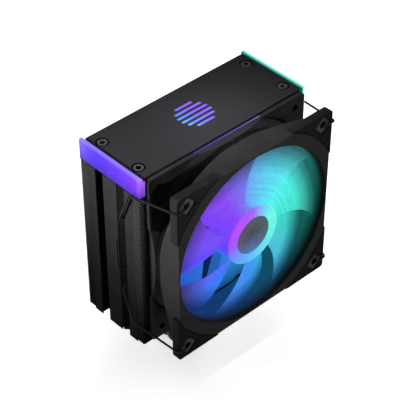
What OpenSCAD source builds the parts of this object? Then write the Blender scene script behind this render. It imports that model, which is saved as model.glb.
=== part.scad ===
// Tower cooler for a desktop processor: a fin stack on four heat pipes, with a clipped-on
// axial fan and a lit top cover.
// Millimetres. Origin: centre of the contact face. +Z is up and the fan is on the -Y side.

/* [Contact block] */
// Width of the block along X
base_w = 36; // [30:1:44]
// Depth of the block along Y
base_d = 40; // [37:1:48]
// Height of the block
base_h = 12; // [10:0.5:16]
// Bevel along the block's upper edges
base_bevel = 1.5; // [0.5:0.1:2.5]
// Spacing along X of the tapped holes for a mounting bracket
tap_x = 24; // [20:1:26]
// Spacing along Y of the tapped holes for a mounting bracket
tap_y = 30; // [26:1:32]
// Core diameter of a tapped hole
tap_d = 2.5; // [2:0.1:3.3]
// Depth of a tapped hole
tap_depth = 5.5; // [4:0.5:6]

/* [Heat pipes] */
// Diameter of a pipe
pipe_d = 6; // [5:0.5:6.5]
// Spacing of the pipes across the block
pipe_pitch = 8; // [7.5:0.5:9]
// Height of a pipe's axis over the contact face, where its flat is milled
pipe_axis_z = 2; // [1.8:0.1:2.4]
// Bend radius at a pipe's axis
pipe_bend_r = 12; // [11:0.5:16]
// Straight length between the block and the bend
pipe_exit = 1; // [0.5:0.5:4]
// How far the pipe's straight end stands out of the top fin
tip_rise = 1.2; // [0.6:0.2:2]
// Height of the drawn-in tip that seals a pipe
tip_h = 2.4; // [1.5:0.1:3]
// Gap around a pipe in the fins and in the block
pipe_fit = 0.05; // [0.02:0.01:0.1]

/* [Fin stack] */
// Width of a fin along X
fin_w = 128.2; // [124:0.2:130]
// Depth of a fin along Y
fin_d = 50.6; // [48:0.2:56]
// Thickness of the fin sheet
fin_t = 0.4; // [0.3:0.05:0.6]
// Spacing of the fins
fin_pitch = 2; // [1.8:0.1:2.4]
// Number of fins
fin_count = 56; // [54:1:60]
// Height of the lowest fin over the contact face
stack_z = 34.2; // [32:0.2:40]
// Cut across a fin's corners
fin_corner = 0.5; // [0.3:0.1:3]
// Half width of the middle land between the clip grooves
land_half = 5.75; // [5:0.25:7]
// Width of a clip groove at its mouth
groove_w = 6.5; // [6:0.25:7.5]
// Depth of a clip groove
groove_depth = 4.5; // [4:0.25:5.5]
// Length of the folded tab on each outer land
side_tab = 7; // [5:0.5:9]
// Length of each folded tab on the front and rear edges
edge_tab = 9; // [5:0.5:14]
// Distance of the edge tabs from the middle
edge_tab_x = 38; // [30:1:44]
// Gap between a folded tab and the fin below it
tab_gap = 0.1; // [0.05:0.05:0.3]

/* [Top cover] */
// How far the plate's front and rear edges lie inside the fins
plate_inset = 0.9; // [0.5:0.1:2]
// Thickness of the cover plate
plate_t = 2; // [1.6:0.1:3]
// Corner radius of the cover plate
plate_r = 2; // [1:0.5:4]
// Height of the tray under the light sheet
tray_h = 9; // [8:0.5:12]
// Wall of the tray
tray_wall = 1.6; // [1.2:0.1:2.4]
// Thickness of the light sheet
sheet_t = 1.5; // [1:0.1:2]
// How far the tray and the light sheet stand out in front of the plate
sheet_lip = 0.4; // [0.2:0.1:0.8]
// Distance of the cover screws from the plate's ends
cover_screw_in = 5.7; // [4.5:0.1:6]
// Spacing of the cover screws along Y
cover_screw_y = 30.4; // [26:0.2:34]
// Shank diameter of a cover screw
cover_screw_d = 3.9; // [2.9:0.1:4]
// Head diameter of a cover screw
cover_head_d = 7.6; // [6:0.1:8]
// Height of a cover screw's head
cover_head_h = 1.7; // [1.2:0.1:1.9]
// Hex socket of a cover screw, across its corners
cover_socket_d = 3.2; // [2.4:0.1:3.6]
// Gap between a screw and its hole
screw_fit = 0.15; // [0.1:0.05:0.3]
// Width of the cable slot in the tray's rear wall
cable_slot_w = 6; // [4:0.5:10]
// Height of the cable slot in the tray's rear wall
cable_slot_h = 2.4; // [2:0.1:3]

/* [Light bars] */
// Thickness of a bar beside the plate
bar_t = 3; // [2:0.1:4]
// How far a bar stands over the plate
bar_proud = 1.3; // [0.5:0.1:2]
// How far a bar's face stands out of the fin ends
bar_over = 0.15; // [0:0.05:0.5]
// Gap between the bar's underside and the top fin
bar_drop_gap = 0.9; // [0.5:0.1:2]
// Bevel along the bar's top edges
bar_bevel = 0.8; // [0.3:0.1:1.2]
// Radius of the bar's outer upright corners
bar_round = 0.8; // [0.5:0.1:2.5]
// Gap between a bar and the pieces beside it
bar_fit = 0.15; // [0.1:0.05:0.3]

/* [Lit window] */
// Diameter of the round field that the slots fill
window_d = 23; // [16:1:30]
// Width of a slot
slot_w = 2; // [1.5:0.1:3]
// Spacing of the slots
slot_pitch = 3.8; // [3.4:0.1:5]
// Number of slots
slot_count = 6; // [3:1:6]
// How far the lenses lie under the plate's face
lens_sink = 0.3; // [0.1:0.1:0.6]
// Gap around a lens in its slot
lens_fit = 0.1; // [0.05:0.05:0.2]

/* [Light board] */
// Thickness of the board
led_board_t = 1; // [0.8:0.1:1.6]
// Gap between the board and the tray wall
led_board_fit = 0.4; // [0.2:0.1:1]
// Width of an LED
led_w = 3; // [2:0.1:3.5]
// Height of an LED
led_h = 1.2; // [0.8:0.1:1.4]
// LEDs in each row
led_row = 5; // [3:1:8]

/* [Fan frame] */
// Width and height of the fan
fan_size = 120; // [117:1:124]
// Depth of the fan
fan_depth = 25; // [24:0.5:28]
// Spacing of the fan's mounting holes
fan_holes = 105; // [103:0.5:106]
// Diameter of a mounting hole
fan_hole_d = 4.3; // [4.2:0.1:5]
// Gap between the fan's back and the fins
fan_gap = 0.8; // [0.7:0.1:2]
// How far the flat sides lie inside the corners
flat_inset = 1; // [0.4:0.1:2]
// Wall of the duct where it meets the flat sides
duct_wall = 1.7; // [1.2:0.1:2.5]
// Width of the bevel around the mouth
mouth_bevel = 0.9; // [0.4:0.1:1.4]
// Depth of the bevel around the mouth
mouth_depth = 2.5; // [1:0.1:4]
// Radius of the arc where the ring meets the corner pads
arc_r = 66; // [64:0.5:68]
// Seam between the ring and a corner pad
seam = 0.6; // [0.3:0.1:1]
// Depth at which the front bell's slope reaches the duct
front_bell = 16.5; // [14:0.5:18]
// Depth of the rear bell, from the back
rear_bell = 5.4; // [4:0.2:7]
// Slope of the bells, radius over depth
bell_slope = 1.35; // [1.2:0.05:1.5]
// Thickness of the rear flange at the corners
rear_flange_t = 2.4; // [2:0.1:4]
// Radius of the fan's upright corners
fan_corner_r = 2.2; // [2.1:0.1:5]

/* [Corner pads] */
// Depth of a front pad
pad_depth = 5.5; // [4.5:0.1:7]
// Wall of a pad around the lug that it slips over
pad_wall = 1.6; // [1.4:0.1:2]
// Gap between a pad and its lug
pad_fit = 0.1; // [0.05:0.05:0.2]
// Width of the recess around a hole
recess_w = 9; // [7:0.5:10]
// Depth of the recess around a hole
recess_depth = 0.9; // [0.4:0.1:1.2]
// Gap between a rear pad and the fins
rear_pad_gap = 0.3; // [0.2:0.05:0.4]

/* [Impeller] */
// Diameter of the hub
hub_d = 39; // [36:1:42]
// Wall of the hub
hub_wall = 1.5; // [1.2:0.1:2]
// Depth of the hub's face behind the fan's front
hub_front = 1.6; // [1:0.1:3]
// Diameter of the dark cap in the hub
cap_d = 25; // [18:0.5:28]
// Thickness of the cap
cap_t = 0.8; // [0.5:0.1:1]
// Number of blades
blade_count = 7; // [5:1:12]
// Angle that a blade spans
blade_span = 50; // [30:1:51]
// Angle that a blade leans forward from hub to tip
blade_lean = 20; // [0:1:30]
// Axial depth of a blade at its root
blade_depth = 11; // [10:0.5:15]
// Bevel around the hub's face
hub_bevel = 1; // [0.5:0.1:2]
// Thickness of a blade at its root
blade_t = 2; // [1.2:0.1:2.6]
// Gap between the blade tips and the duct
tip_gap = 1.1; // [0.6:0.1:2]
// Share of a blade's axial depth that is lost at its tip
tip_narrow = 0.22; // [0:0.02:0.4]
// Share of a blade's thickness that is lost at its tip
tip_thin = 0.45; // [0.2:0.05:0.6]
// Thickness of a blade's edges as a share of its middle
edge_share = 0.3; // [0.2:0.05:0.5]
// Bow of a blade across its span
blade_bow = 0.45; // [0.2:0.05:0.6]

/* [Motor] */
// Diameter of the shaft
shaft_d = 3; // [2:0.1:3.2]
// Gap between the shaft and its bearing
shaft_fit = 0.03; // [0.02:0.01:0.06]
// Gap between pieces that are pressed together
press_fit = 0.05; // [0.02:0.01:0.08]
// Wall of the sleeve bearing
sleeve_wall = 2; // [1.5:0.1:2.4]
// Wall of the tube that holds the bearing
tube_wall = 1.6; // [1.2:0.1:2]
// Thickness of the steel yoke
yoke_t = 0.8; // [0.6:0.1:1]
// Thickness of the ring magnet
magnet_t = 1.9; // [1.4:0.1:2.2]
// Air gap between the magnet and the stator
air_gap = 0.5; // [0.3:0.05:0.8]
// Width of a stator pole
pole_w = 3.6; // [3:0.1:4.4]
// Height of the stator's stack of sheets
core_h = 6; // [5:0.5:7]
// Thickness of the windings around a pole
winding_t = 1.5; // [1:0.1:1.8]
// Thickness of the motor seat at the frame's back
seat_t = 2.6; // [2:0.1:3]
// Height of the rim that the motor's circuit board rests on
board_rest = 1.2; // [0.8:0.1:1.6]
// Thickness of the motor's circuit board
fan_board_t = 1; // [0.8:0.1:1.2]
// Height of the fan's LEDs
fan_led_h = 0.5; // [0.3:0.05:0.55]
// Gap between the turning hub and the circuit board
rotor_gap = 0.6; // [0.6:0.05:1]
// Thickness of the plastic around the shaft in the hub
hub_boss_wall = 3; // [2:0.1:4]
// Depth of the groove for the shaft's retainer
retainer_groove = 0.3; // [0.2:0.05:0.4]
// Thickness of the shaft's retainer
retainer_t = 0.5; // [0.4:0.1:0.8]
// Width of the cable channel along one strut
cable_channel_w = 3; // [2:0.1:3.4]
// Depth of the cable channel along one strut
cable_channel_h = 1.6; // [1:0.1:2]
// Width of a frame strut
strut_w = 5; // [3.5:0.5:8]
// Depth of a frame strut
strut_depth = 3.4; // [2.4:0.1:4]

/* [Fan clips] */
// Diameter of the spring wire
wire_d = 1.3; // [1.1:0.1:1.8]
// Bend radius at the wire's axis
wire_bend = 1.8; // [1.5:0.1:2.2]
// Gap between the wire and the fan
wire_gap = 0.25; // [0.2:0.05:0.5]
// Gap between the wire and the fin ends
side_gap = 1.1; // [0.8:0.1:2]
// How far a hook reaches into its hole
hook_depth = 3; // [2:0.1:3.5]
// Drop of the wire from the hole to the fan's edge
hook_drop = 0.4; // [0:0.1:5]
// How far the wire lies inside the groove
wire_sink = 2.6; // [2.2:0.1:3]
// Gap between the wire and the groove's outer wall
groove_gap = 1.25; // [1:0.05:1.5]
// Height of the side run under the level of the fan's holes
run_drop = 4.4; // [4:0.1:8]
// Half height of the finger handle
handle_half = 11; // [8:0.5:14]
// How far the handle stands out of the fin ends
handle_out = 4; // [3:0.1:6]

/* [Hidden] */
$fn = 64;
joint = 0.01;
pipe_r = pipe_d / 2;
pipe_count = 4;
leg_x = base_w / 2 + pipe_exit + pipe_bend_r;
stack_top = stack_z + (fin_count - 1) * fin_pitch + fin_t;
groove_out = land_half + groove_w;
fin_end = fin_w / 2;
fin_front = -fin_d / 2;

bar_end = fin_end + bar_over;
plate_w = 2 * (bar_end - bar_t - bar_fit);
plate_d = fin_d - 2 * plate_inset;
cover_screw_x = plate_w - 2 * cover_screw_in;
tray_top = stack_top + tray_h;
sheet_top = tray_top + sheet_t;
cover_top = sheet_top + plate_t;
boss_r = cover_screw_d / 2 + tray_wall;
tray_half = cover_screw_x / 2 + boss_r;
tray_d = plate_d + 2 * sheet_lip;
board_z = tray_top - led_board_fit - led_h - led_board_t;
head_z = cover_top - screw_fit - cover_head_h;
slot_rows = [for (i = [0 : slot_count - 1]) (i - (slot_count - 1) / 2) * slot_pitch];

fan_z = cover_top - fan_size / 2;
fan_front = fin_front - fan_gap - fan_depth;
fan_half = fan_size / 2;
flat_half = fan_half - flat_inset;
duct_r = flat_half - duct_wall;
hole_at = fan_holes / 2;
lug_half = fan_half - pad_wall;
lug_r = fan_corner_r - pad_wall;
seat_front = fan_depth - seat_t;
board_front = seat_front - board_rest - fan_board_t;
seal_t = 0.2;

hub_r = hub_d / 2;
hub_back = board_front - rotor_gap;
cap_back = hub_front + cap_t;
blade_tip_r = duct_r - tip_gap;
blade_front = hub_front + 2 * hub_bevel;
blade_root_r = hub_r - hub_wall / 2;
lean_power = 1.4;
crown_power = 0.8;
shaft_r = shaft_d / 2;
hub_boss_r = shaft_r + hub_boss_wall;
sleeve_r = shaft_r + shaft_fit + sleeve_wall;
tube_bore = sleeve_r + press_fit;
tube_r = tube_bore + tube_wall;
yoke_r = hub_r - hub_wall - press_fit;
yoke_front = cap_back + hub_wall + press_fit;
yoke_back = hub_back - rotor_gap;
magnet_r = yoke_r - yoke_t - press_fit;
magnet_front = yoke_front + 2 * yoke_t;
magnet_back = yoke_back - yoke_t;
core_r = magnet_r - magnet_t - air_gap;
strut_turn = 18;
core_hub = tube_r + press_fit + tube_wall;
shoe_t = 1.6;
shoe_w = 1.25 * core_r;
core_front = (magnet_front + magnet_back - core_h) / 2;
hub_boss_back = yoke_front + yoke_t + sleeve_wall / 2;
tube_front = hub_boss_back + rotor_gap;
sleeve_front = tube_front + press_fit;
sleeve_back = seat_front - board_rest;
retainer_front = sleeve_back + 4 * shaft_fit;
retainer_r = shaft_r - retainer_groove;
shaft_end = retainer_front + 2 * retainer_t + 2 * press_fit;
seal_r = hub_r - hub_wall - seat_t / 2;

wire_r = wire_d / 2;
wire_face = fan_front - wire_r - wire_gap;
wire_side = fin_end + wire_r + side_gap;
groove_y = -groove_out + wire_r + groove_gap;
groove_x = fin_end - wire_sink;
run_z = hole_at - run_drop;

black = "#1b1c1f";
charcoal = "#37373b";

// Plain helpers

function unit(v) = v / norm(v);

// Points of a polyline whose inner corners are rounded to radius r, with steps points per corner.
function rounded_path(points, r, steps) = [
    points[0],
    for (i = [1 : len(points) - 2])
        let (
            back = unit(points[i - 1] - points[i]),
            ahead = unit(points[i + 1] - points[i]),
            half = acos(back * ahead) / 2,
            centre = points[i] + unit(back + ahead) * r / sin(half),
            start = points[i] + back * r / tan(half),
            arm = unit(start - centre),
            sweep = 180 - 2 * half
        )
        for (k = [0 : steps])
            centre + r * (arm * cos(sweep * k / steps) - back * sin(sweep * k / steps)),
    points[len(points) - 1],
];

function tangent(path, i) =
    i == 0 ? unit(path[1] - path[0])
    : i == len(path) - 1 ? unit(path[i] - path[i - 1])
    : unit(unit(path[i] - path[i - 1]) + unit(path[i + 1] - path[i]));

// Normals carried along a path without twist.
function carried(path, i, list) =
    i == len(path) ? list
    : let (t = tangent(path, i), last = list[len(list) - 1])
        carried(path, i + 1, concat(list, [unit(last - (last * t) * t)]));

// A round tube of one skin along a path; side is a vector off the path's first direction.
module tube(path, r, sides, side) {
    first = tangent(path, 0);
    normals = carried(path, 1, [unit(side - (side * first) * first)]);
    last_ring = (len(path) - 1) * sides;
    polyhedron(
        [for (i = [0 : len(path) - 1])
            let (n = normals[i], b = cross(tangent(path, i), n))
            for (k = [0 : sides - 1])
                path[i] + r * (n * cos(360 * k / sides) + b * sin(360 * k / sides))],
        concat(
            [for (k = [1 : sides - 2]) [0, k, k + 1]],
            [for (i = [0 : len(path) - 2]) for (k = [0 : sides - 1])
                let (a = i * sides + k, b = i * sides + (k + 1) % sides)
                each [[a, a + sides, b], [b, a + sides, b + sides]]],
            [for (k = [1 : sides - 2]) [last_ring, last_ring + k + 1, last_ring + k]]
        ),
        convexity = 8);
}

module rounded_plate(w, d, r) {
    square([w - 2 * r, d], center = true);
    square([w, d - 2 * r], center = true);
    for (x = [-1, 1], y = [-1, 1])
        translate([x * (w / 2 - r), y * (d / 2 - r)]) circle(r);
}

module ring(outer, inner, from, to) {
    translate([0, 0, from]) linear_extrude(to - from) difference() {
        circle(outer);
        circle(inner);
    }
}

// Puts a shape drawn on the fan's axis, front at 0 and back at fan_depth, into its place.
module in_fan() {
    translate([0, fan_front, fan_z]) rotate([-90, 0, 0]) children();
}

module both_ends() {
    children();
    mirror([1, 0, 0]) children();
}

// Contact block and heat pipes

function pipe_y(i) = (i - (pipe_count + 1) / 2) * pipe_pitch;

module contact_block() color("#b9bcc0") difference() {
    half = base_d / 2;
    rotate([90, 0, 90]) linear_extrude(base_w, center = true) polygon([
        [-half, 0], [half, 0], [half, base_h - base_bevel], [half - base_bevel, base_h],
        [base_bevel - half, base_h], [-half, base_h - base_bevel],
    ]);
    for (i = [1 : pipe_count])
        translate([-base_w, pipe_y(i), pipe_axis_z]) rotate([0, 90, 0])
            cylinder(r = pipe_r + pipe_fit, h = 2 * base_w);
    for (x = [-1, 1], y = [-1, 1])
        translate([x * tap_x / 2, y * tap_y / 2, base_h - tap_depth]) cylinder(d = tap_d, h = base_h);
}

module heat_pipe(i) color(black) translate([0, pipe_y(i), 0]) difference() {
    bend_x = leg_x - pipe_bend_r;
    bend_z = pipe_axis_z + pipe_bend_r;
    leg_h = stack_top + tip_rise - bend_z;
    union() {
        translate([-bend_x, 0, pipe_axis_z]) rotate([0, 90, 0]) cylinder(r = pipe_r, h = 2 * bend_x);
        both_ends() {
            translate([bend_x, 0, bend_z]) rotate([90, 0, 0]) rotate([0, 0, -90])
                rotate_extrude(angle = 90) translate([pipe_bend_r, 0]) circle(pipe_r);
            translate([leg_x, 0, bend_z]) cylinder(r = pipe_r, h = leg_h);
            translate([leg_x, 0, bend_z + leg_h]) cylinder(r1 = pipe_r, r2 = pipe_r / 3, h = tip_h);
        }
    }
    translate([-fin_w, -pipe_d, -pipe_d]) cube([2 * fin_w, 2 * pipe_d, pipe_d]);
}

// Fin stack

fin_half = [
    [fin_end - fin_corner, fin_front], [fin_end, fin_front + fin_corner],
    [fin_end, -groove_out], [fin_end - groove_depth, -groove_out],
    [fin_end - groove_depth, -land_half - groove_depth], [fin_end, -land_half],
    [fin_end, land_half], [fin_end - groove_depth, land_half + groove_depth],
    [fin_end - groove_depth, groove_out], [fin_end, groove_out],
    [fin_end, -fin_front - fin_corner], [fin_end - fin_corner, -fin_front],
];
fin_outline = concat(fin_half,
    [for (i = [len(fin_half) - 1 : -1 : 0]) [-fin_half[i][0], fin_half[i][1]]]);

module fin_tabs() both_ends() {
    translate([fin_end - fin_t, -land_half]) square([fin_t, 2 * land_half]);
    for (y = [groove_out, -groove_out - side_tab])
        translate([fin_end - fin_t, y]) square([fin_t, side_tab]);
    for (y = [fin_front, -fin_front - fin_t])
        translate([edge_tab_x - edge_tab / 2, y]) square([edge_tab, fin_t]);
}

module fin() {
    tab_h = fin_pitch - fin_t - tab_gap;
    linear_extrude(fin_t) difference() {
        polygon(fin_outline);
        for (i = [1 : pipe_count], x = [-1, 1])
            translate([x * leg_x, pipe_y(i)]) circle(pipe_r + pipe_fit);
    }
    translate([0, 0, -tab_h]) linear_extrude(tab_h + fin_t) fin_tabs();
}

module fins() color(charcoal)
    for (i = [0 : fin_count - 1]) translate([0, 0, stack_z + i * fin_pitch]) fin();

// Top cover

module at_cover_screws() {
    for (x = [-1, 1], y = [-1, 1])
        translate([x * cover_screw_x / 2, y * cover_screw_y / 2, 0]) children();
}

module cover_tray() color(black) translate([0, 0, stack_top]) {
    inside = [2 * (tray_half - tray_wall), tray_d - 2 * tray_wall];
    difference() {
        linear_extrude(tray_h) rounded_plate(2 * tray_half, tray_d, tray_wall);
        translate([0, 0, tray_wall]) linear_extrude(tray_h) square(inside, center = true);
        for (i = [1 : pipe_count], x = [-1, 1])
            translate([x * leg_x, pipe_y(i), -joint]) cylinder(r = pipe_r + pipe_fit, h = tray_h);
        translate([-cable_slot_w / 2, tray_d / 2 - 2 * tray_wall, tray_wall])
            cube([cable_slot_w, 3 * tray_wall, cable_slot_h]);
    }
    for (x = [-1, 1])
        translate([x * leg_x / 2 - tray_wall / 2, -tray_d / 2 + joint, joint])
            cube([tray_wall, tray_d - 2 * joint, board_z - stack_top - joint]);
    at_cover_screws() difference() {
        translate([0, 0, joint]) cylinder(r = boss_r, h = tray_h - joint);
        translate([0, 0, tray_wall]) cylinder(r = cover_screw_d / 2 + press_fit, h = tray_h);
    }
}

module light_board() color("#2f5d46") translate([0, 0, board_z]) linear_extrude(led_board_t)
    square([cover_screw_x - 2 * (boss_r + led_board_fit), tray_d - 2 * (tray_wall + led_board_fit)],
        center = true);

module cover_leds() color("#f4f2e8") translate([0, 0, board_z + led_board_t]) {
    step = (cover_screw_x / 2 - boss_r - led_board_fit - led_w) / (led_row - 1);
    for (i = [0 : led_row - 1], end = i == 0 ? [1] : [-1, 1], y = [-1, 1])
        translate([end * i * step - led_w / 2, y * cover_screw_y / 2 - led_w / 2, 0])
            cube([led_w, led_w, led_h]);
}

module light_sheet() color("#8f6bff") translate([0, 0, tray_top]) linear_extrude(sheet_t)
    difference() {
        rounded_plate(2 * tray_half, tray_d, tray_wall);
        at_cover_screws() circle(cover_screw_d / 2 + screw_fit);
    }

module slots(grow) {
    for (y = slot_rows) {
        half = sqrt(pow(window_d / 2, 2) - y * y) - slot_w / 2;
        translate([0, y]) {
            square([2 * half, slot_w + 2 * grow], center = true);
            for (x = [-1, 1]) translate([x * half, 0]) circle(slot_w / 2 + grow);
        }
    }
}

module cover_plate() color("#3b3a3e") translate([0, 0, sheet_top]) difference() {
    linear_extrude(plate_t) difference() {
        rounded_plate(plate_w, plate_d, plate_r);
        slots(lens_fit);
    }
    at_cover_screws() {
        translate([0, 0, -joint]) cylinder(r = cover_screw_d / 2 + screw_fit, h = 2 * plate_t);
        translate([0, 0, plate_t - cover_head_h - screw_fit])
            cylinder(r1 = cover_screw_d / 2 + screw_fit, r2 = cover_head_d / 2 + screw_fit,
                h = cover_head_h);
        translate([0, 0, plate_t - screw_fit - joint])
            cylinder(r = cover_head_d / 2 + screw_fit, h = plate_t);
    }
}

module window_lenses() color("#52d8ff") translate([0, 0, sheet_top])
    linear_extrude(plate_t - lens_sink) slots(0);

module cover_screws() color("#8d8f93") at_cover_screws() difference() {
    foot = stack_top + 2 * tray_wall;
    union() {
        translate([0, 0, head_z])
            cylinder(r1 = cover_screw_d / 2, r2 = cover_head_d / 2, h = cover_head_h);
        translate([0, 0, foot]) cylinder(d = cover_screw_d, h = head_z + joint - foot);
    }
    translate([0, 0, head_z + cover_head_h / 3]) cylinder(d = cover_socket_d, h = plate_t, $fn = 6);
}

module light_bar() intersection() {
    inner = tray_half + bar_fit;
    step = plate_w / 2 + bar_fit;
    low = stack_top + bar_drop_gap;
    high = cover_top + bar_proud;
    rotate([90, 0, 0]) linear_extrude(2 * fin_d, center = true) polygon([
        [inner, low], [bar_end, low], [bar_end, high - bar_bevel], [bar_end - bar_bevel, high],
        [step + bar_bevel, high], [step, high - bar_bevel], [step, sheet_top - bar_fit],
        [inner, sheet_top - bar_fit],
    ]);
    translate([0, 0, stack_z]) linear_extrude(2 * cover_top) rounded_plate(2 * bar_end, fin_d, bar_round);
}

module left_light_bar() color("#5a35ff") mirror([1, 0, 0]) light_bar();
module right_light_bar() color("#8ffff0") light_bar();

// Fan frame and its pads

bell_back = pad_depth + pad_fit;
rear_bell_r = flat_half + rear_bell * bell_slope;
ring_profile = [
    [duct_r + mouth_bevel, 0], [arc_r - seam / 2, 0], [arc_r - seam / 2, bell_back],
    [flat_half + (front_bell - bell_back) * bell_slope, bell_back], [flat_half, front_bell],
    [flat_half, fan_depth - rear_bell], [rear_bell_r, fan_depth],
    [duct_r, fan_depth], [duct_r, mouth_depth],
];

module corner_shape(half, r, inner) difference() {
    rounded_plate(2 * half, 2 * half, r);
    circle(inner);
}

module one_corner(x, y) intersection() {
    children();
    translate([x * fan_half, y * fan_half]) square(fan_size, center = true);
}

module at_fan_holes() {
    for (x = [-1, 1], y = [-1, 1]) translate([x * hole_at, y * hole_at, 0]) children();
}

module fan_hole_cuts() at_fan_holes()
    translate([0, 0, -fan_depth]) cylinder(d = fan_hole_d, h = 3 * fan_depth);

// Outline of the four front pads: outside the ring's arc, and a wall around each hole.
module pad_outline() {
    corner_shape(fan_half, fan_corner_r, arc_r + seam / 2);
    at_fan_holes() circle(fan_hole_d / 2 + pad_wall);
}

module at_struts(turns) {
    for (i = turns) rotate(90 * i + strut_turn) children();
}

module fan_frame() color(black) in_fan() {
    rim_r = hub_r + hub_bevel;
    difference() {
        union() {
            difference() {
                intersection() {
                    rotate_extrude() polygon(ring_profile);
                    translate([-flat_half, -flat_half, 0]) cube([2 * flat_half, 2 * flat_half, fan_depth]);
                }
                at_fan_holes() translate([0, 0, -joint])
                    cylinder(r = fan_hole_d / 2 + pad_wall + seam, h = bell_back + joint);
            }
            translate([0, 0, pad_wall]) linear_extrude(pad_depth - 2 * pad_wall)
                corner_shape(lug_half, lug_r, arc_r - 2 * seam);
            translate([0, 0, fan_depth - rear_flange_t]) linear_extrude(rear_flange_t)
                corner_shape(fan_half, fan_corner_r, rear_bell_r - 2 * seam);
            at_struts([0 : 3]) translate([hub_r, -strut_w / 2, fan_depth - strut_depth])
                cube([duct_r + duct_wall / 2 - hub_r, strut_w, strut_depth]);
        }
        fan_hole_cuts();
        at_struts([0]) translate([hub_r, -cable_channel_w / 2, fan_depth - cable_channel_h])
            cube([fan_size, cable_channel_w, fan_depth]);
    }
    difference() {
        union() {
            ring(rim_r, tube_bore, seat_front, fan_depth);
            ring(rim_r, hub_r - hub_wall / 3, hub_back + rotor_gap, seat_front + joint);
            ring(tube_r, tube_bore, tube_front, fan_depth - joint);
            ring(tube_r + board_rest, tube_r - joint, seat_front - board_rest, seat_front + joint);
        }
        translate([0, 0, fan_depth - seal_t]) cylinder(r = seal_r + press_fit, h = seat_t);
    }
}

module front_pad(x, y) color("#141417") in_fan() difference() {
    pocket = lug_half + pad_fit;
    linear_extrude(pad_depth) one_corner(x, y) pad_outline();
    translate([0, 0, pad_wall - pad_fit]) linear_extrude(pad_depth - 2 * (pad_wall - pad_fit))
        rounded_plate(2 * pocket, 2 * pocket, lug_r + pad_fit);
    fan_hole_cuts();
    translate([x * hole_at, y * hole_at, recess_depth / 2]) rotate(45)
        cube([recess_w, recess_w, recess_depth + joint], center = true);
}

module rear_pad(x, y) color("#141417") in_fan() translate([0, 0, fan_depth])
    linear_extrude(fan_gap - rear_pad_gap) difference() {
        one_corner(x, y) corner_shape(fan_half, fan_corner_r, rear_bell_r + seam / 2);
        translate([x * hole_at, y * hole_at]) circle(d = fan_hole_d);
    }

// Impeller

// Point of a blade: across runs 0 to 1 from leading to trailing edge, along 0 to 1 from hub to tip.
function blade_point(across, along, face) =
    let (
        r = blade_root_r + along * (blade_tip_r - blade_root_r),
        angle = blade_lean * pow(along, lean_power) + blade_span * across,
        depth = blade_depth * (1 - tip_narrow * along),
        arch = across + blade_bow * across * (1 - across),
        crown = edge_share + (1 - edge_share) * sin(180 * pow(across, crown_power)),
        thick = blade_t * (1 - tip_thin * along) * crown,
        z = blade_front + (blade_depth - depth) / 2 + depth * (1 - arch) + face * thick / 2
    )
    [r * cos(angle), r * sin(angle), z];

module blade() {
    m = 7;
    n = 6;
    count = (m + 1) * (n + 1);
    function at(face, i, k) = face * count + i * (n + 1) + k;
    polyhedron(
        [for (face = [-1, 1]) for (i = [0 : m]) for (k = [0 : n]) blade_point(i / m, k / n, face)],
        concat(
            [for (i = [0 : m - 1]) for (k = [0 : n - 1]) each [
                [at(0, i, k), at(0, i, k + 1), at(0, i + 1, k)],
                [at(0, i, k + 1), at(0, i + 1, k + 1), at(0, i + 1, k)],
                [at(1, i, k), at(1, i + 1, k), at(1, i, k + 1)],
                [at(1, i, k + 1), at(1, i + 1, k), at(1, i + 1, k + 1)]]],
            [for (i = [0 : m - 1]) each [
                [at(0, i, 0), at(0, i + 1, 0), at(1, i, 0)],
                [at(1, i, 0), at(0, i + 1, 0), at(1, i + 1, 0)],
                [at(0, i, n), at(1, i, n), at(0, i + 1, n)],
                [at(1, i, n), at(1, i + 1, n), at(0, i + 1, n)]]],
            [for (k = [0 : n - 1]) each [
                [at(0, 0, k), at(1, 0, k), at(0, 0, k + 1)],
                [at(1, 0, k), at(1, 0, k + 1), at(0, 0, k + 1)],
                [at(0, m, k), at(0, m, k + 1), at(1, m, k)],
                [at(1, m, k), at(0, m, k + 1), at(1, m, k + 1)]]]
        ));
}

module impeller() color("#8c7bff") in_fan() {
    wall_back = cap_back + hub_wall;
    bore = shaft_r + press_fit;
    rotate_extrude() polygon([
        [bore, cap_back + press_fit], [cap_d / 2 + press_fit, cap_back + press_fit],
        [cap_d / 2 + press_fit, hub_front], [hub_r - hub_bevel, hub_front],
        [hub_r, hub_front + hub_bevel], [hub_r, hub_back],
        [hub_r - hub_wall, hub_back], [hub_r - hub_wall, wall_back],
        [hub_boss_r, wall_back], [hub_boss_r, hub_boss_back], [bore, hub_boss_back],
    ]);
    for (i = [0 : blade_count - 1]) rotate(i * 360 / blade_count) blade();
}

module hub_cap() color("#5a5d63") in_fan() translate([0, 0, hub_front]) cylinder(d = cap_d, h = cap_t);

module rotor_yoke() color("#9a9da1") in_fan() {
    ring(yoke_r, yoke_r - yoke_t, yoke_front, yoke_back);
    ring(yoke_r, hub_boss_r + press_fit, yoke_front, yoke_front + yoke_t);
}

module rotor_magnet() color("#3a3532") in_fan()
    ring(magnet_r, magnet_r - magnet_t, magnet_front, magnet_back);

module rotor_shaft() color("#c9ccd0") in_fan() difference() {
    top = cap_back + 2 * press_fit;
    translate([0, 0, top]) cylinder(r = shaft_r, h = shaft_end - top);
    ring(2 * shaft_r, retainer_r, retainer_front - press_fit, retainer_front + retainer_t + press_fit);
}

module shaft_retainer() color("#6f7276") in_fan() difference() {
    ring(sleeve_r - sleeve_wall / 3, retainer_r + press_fit, retainer_front, retainer_front + retainer_t);
    translate([0, -retainer_t / 2, 0]) cube([2 * sleeve_r, retainer_t, fan_depth]);
}

module bearing_sleeve() color("#b98d4f") in_fan()
    ring(sleeve_r, shaft_r + shaft_fit, sleeve_front, sleeve_back);

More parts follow.
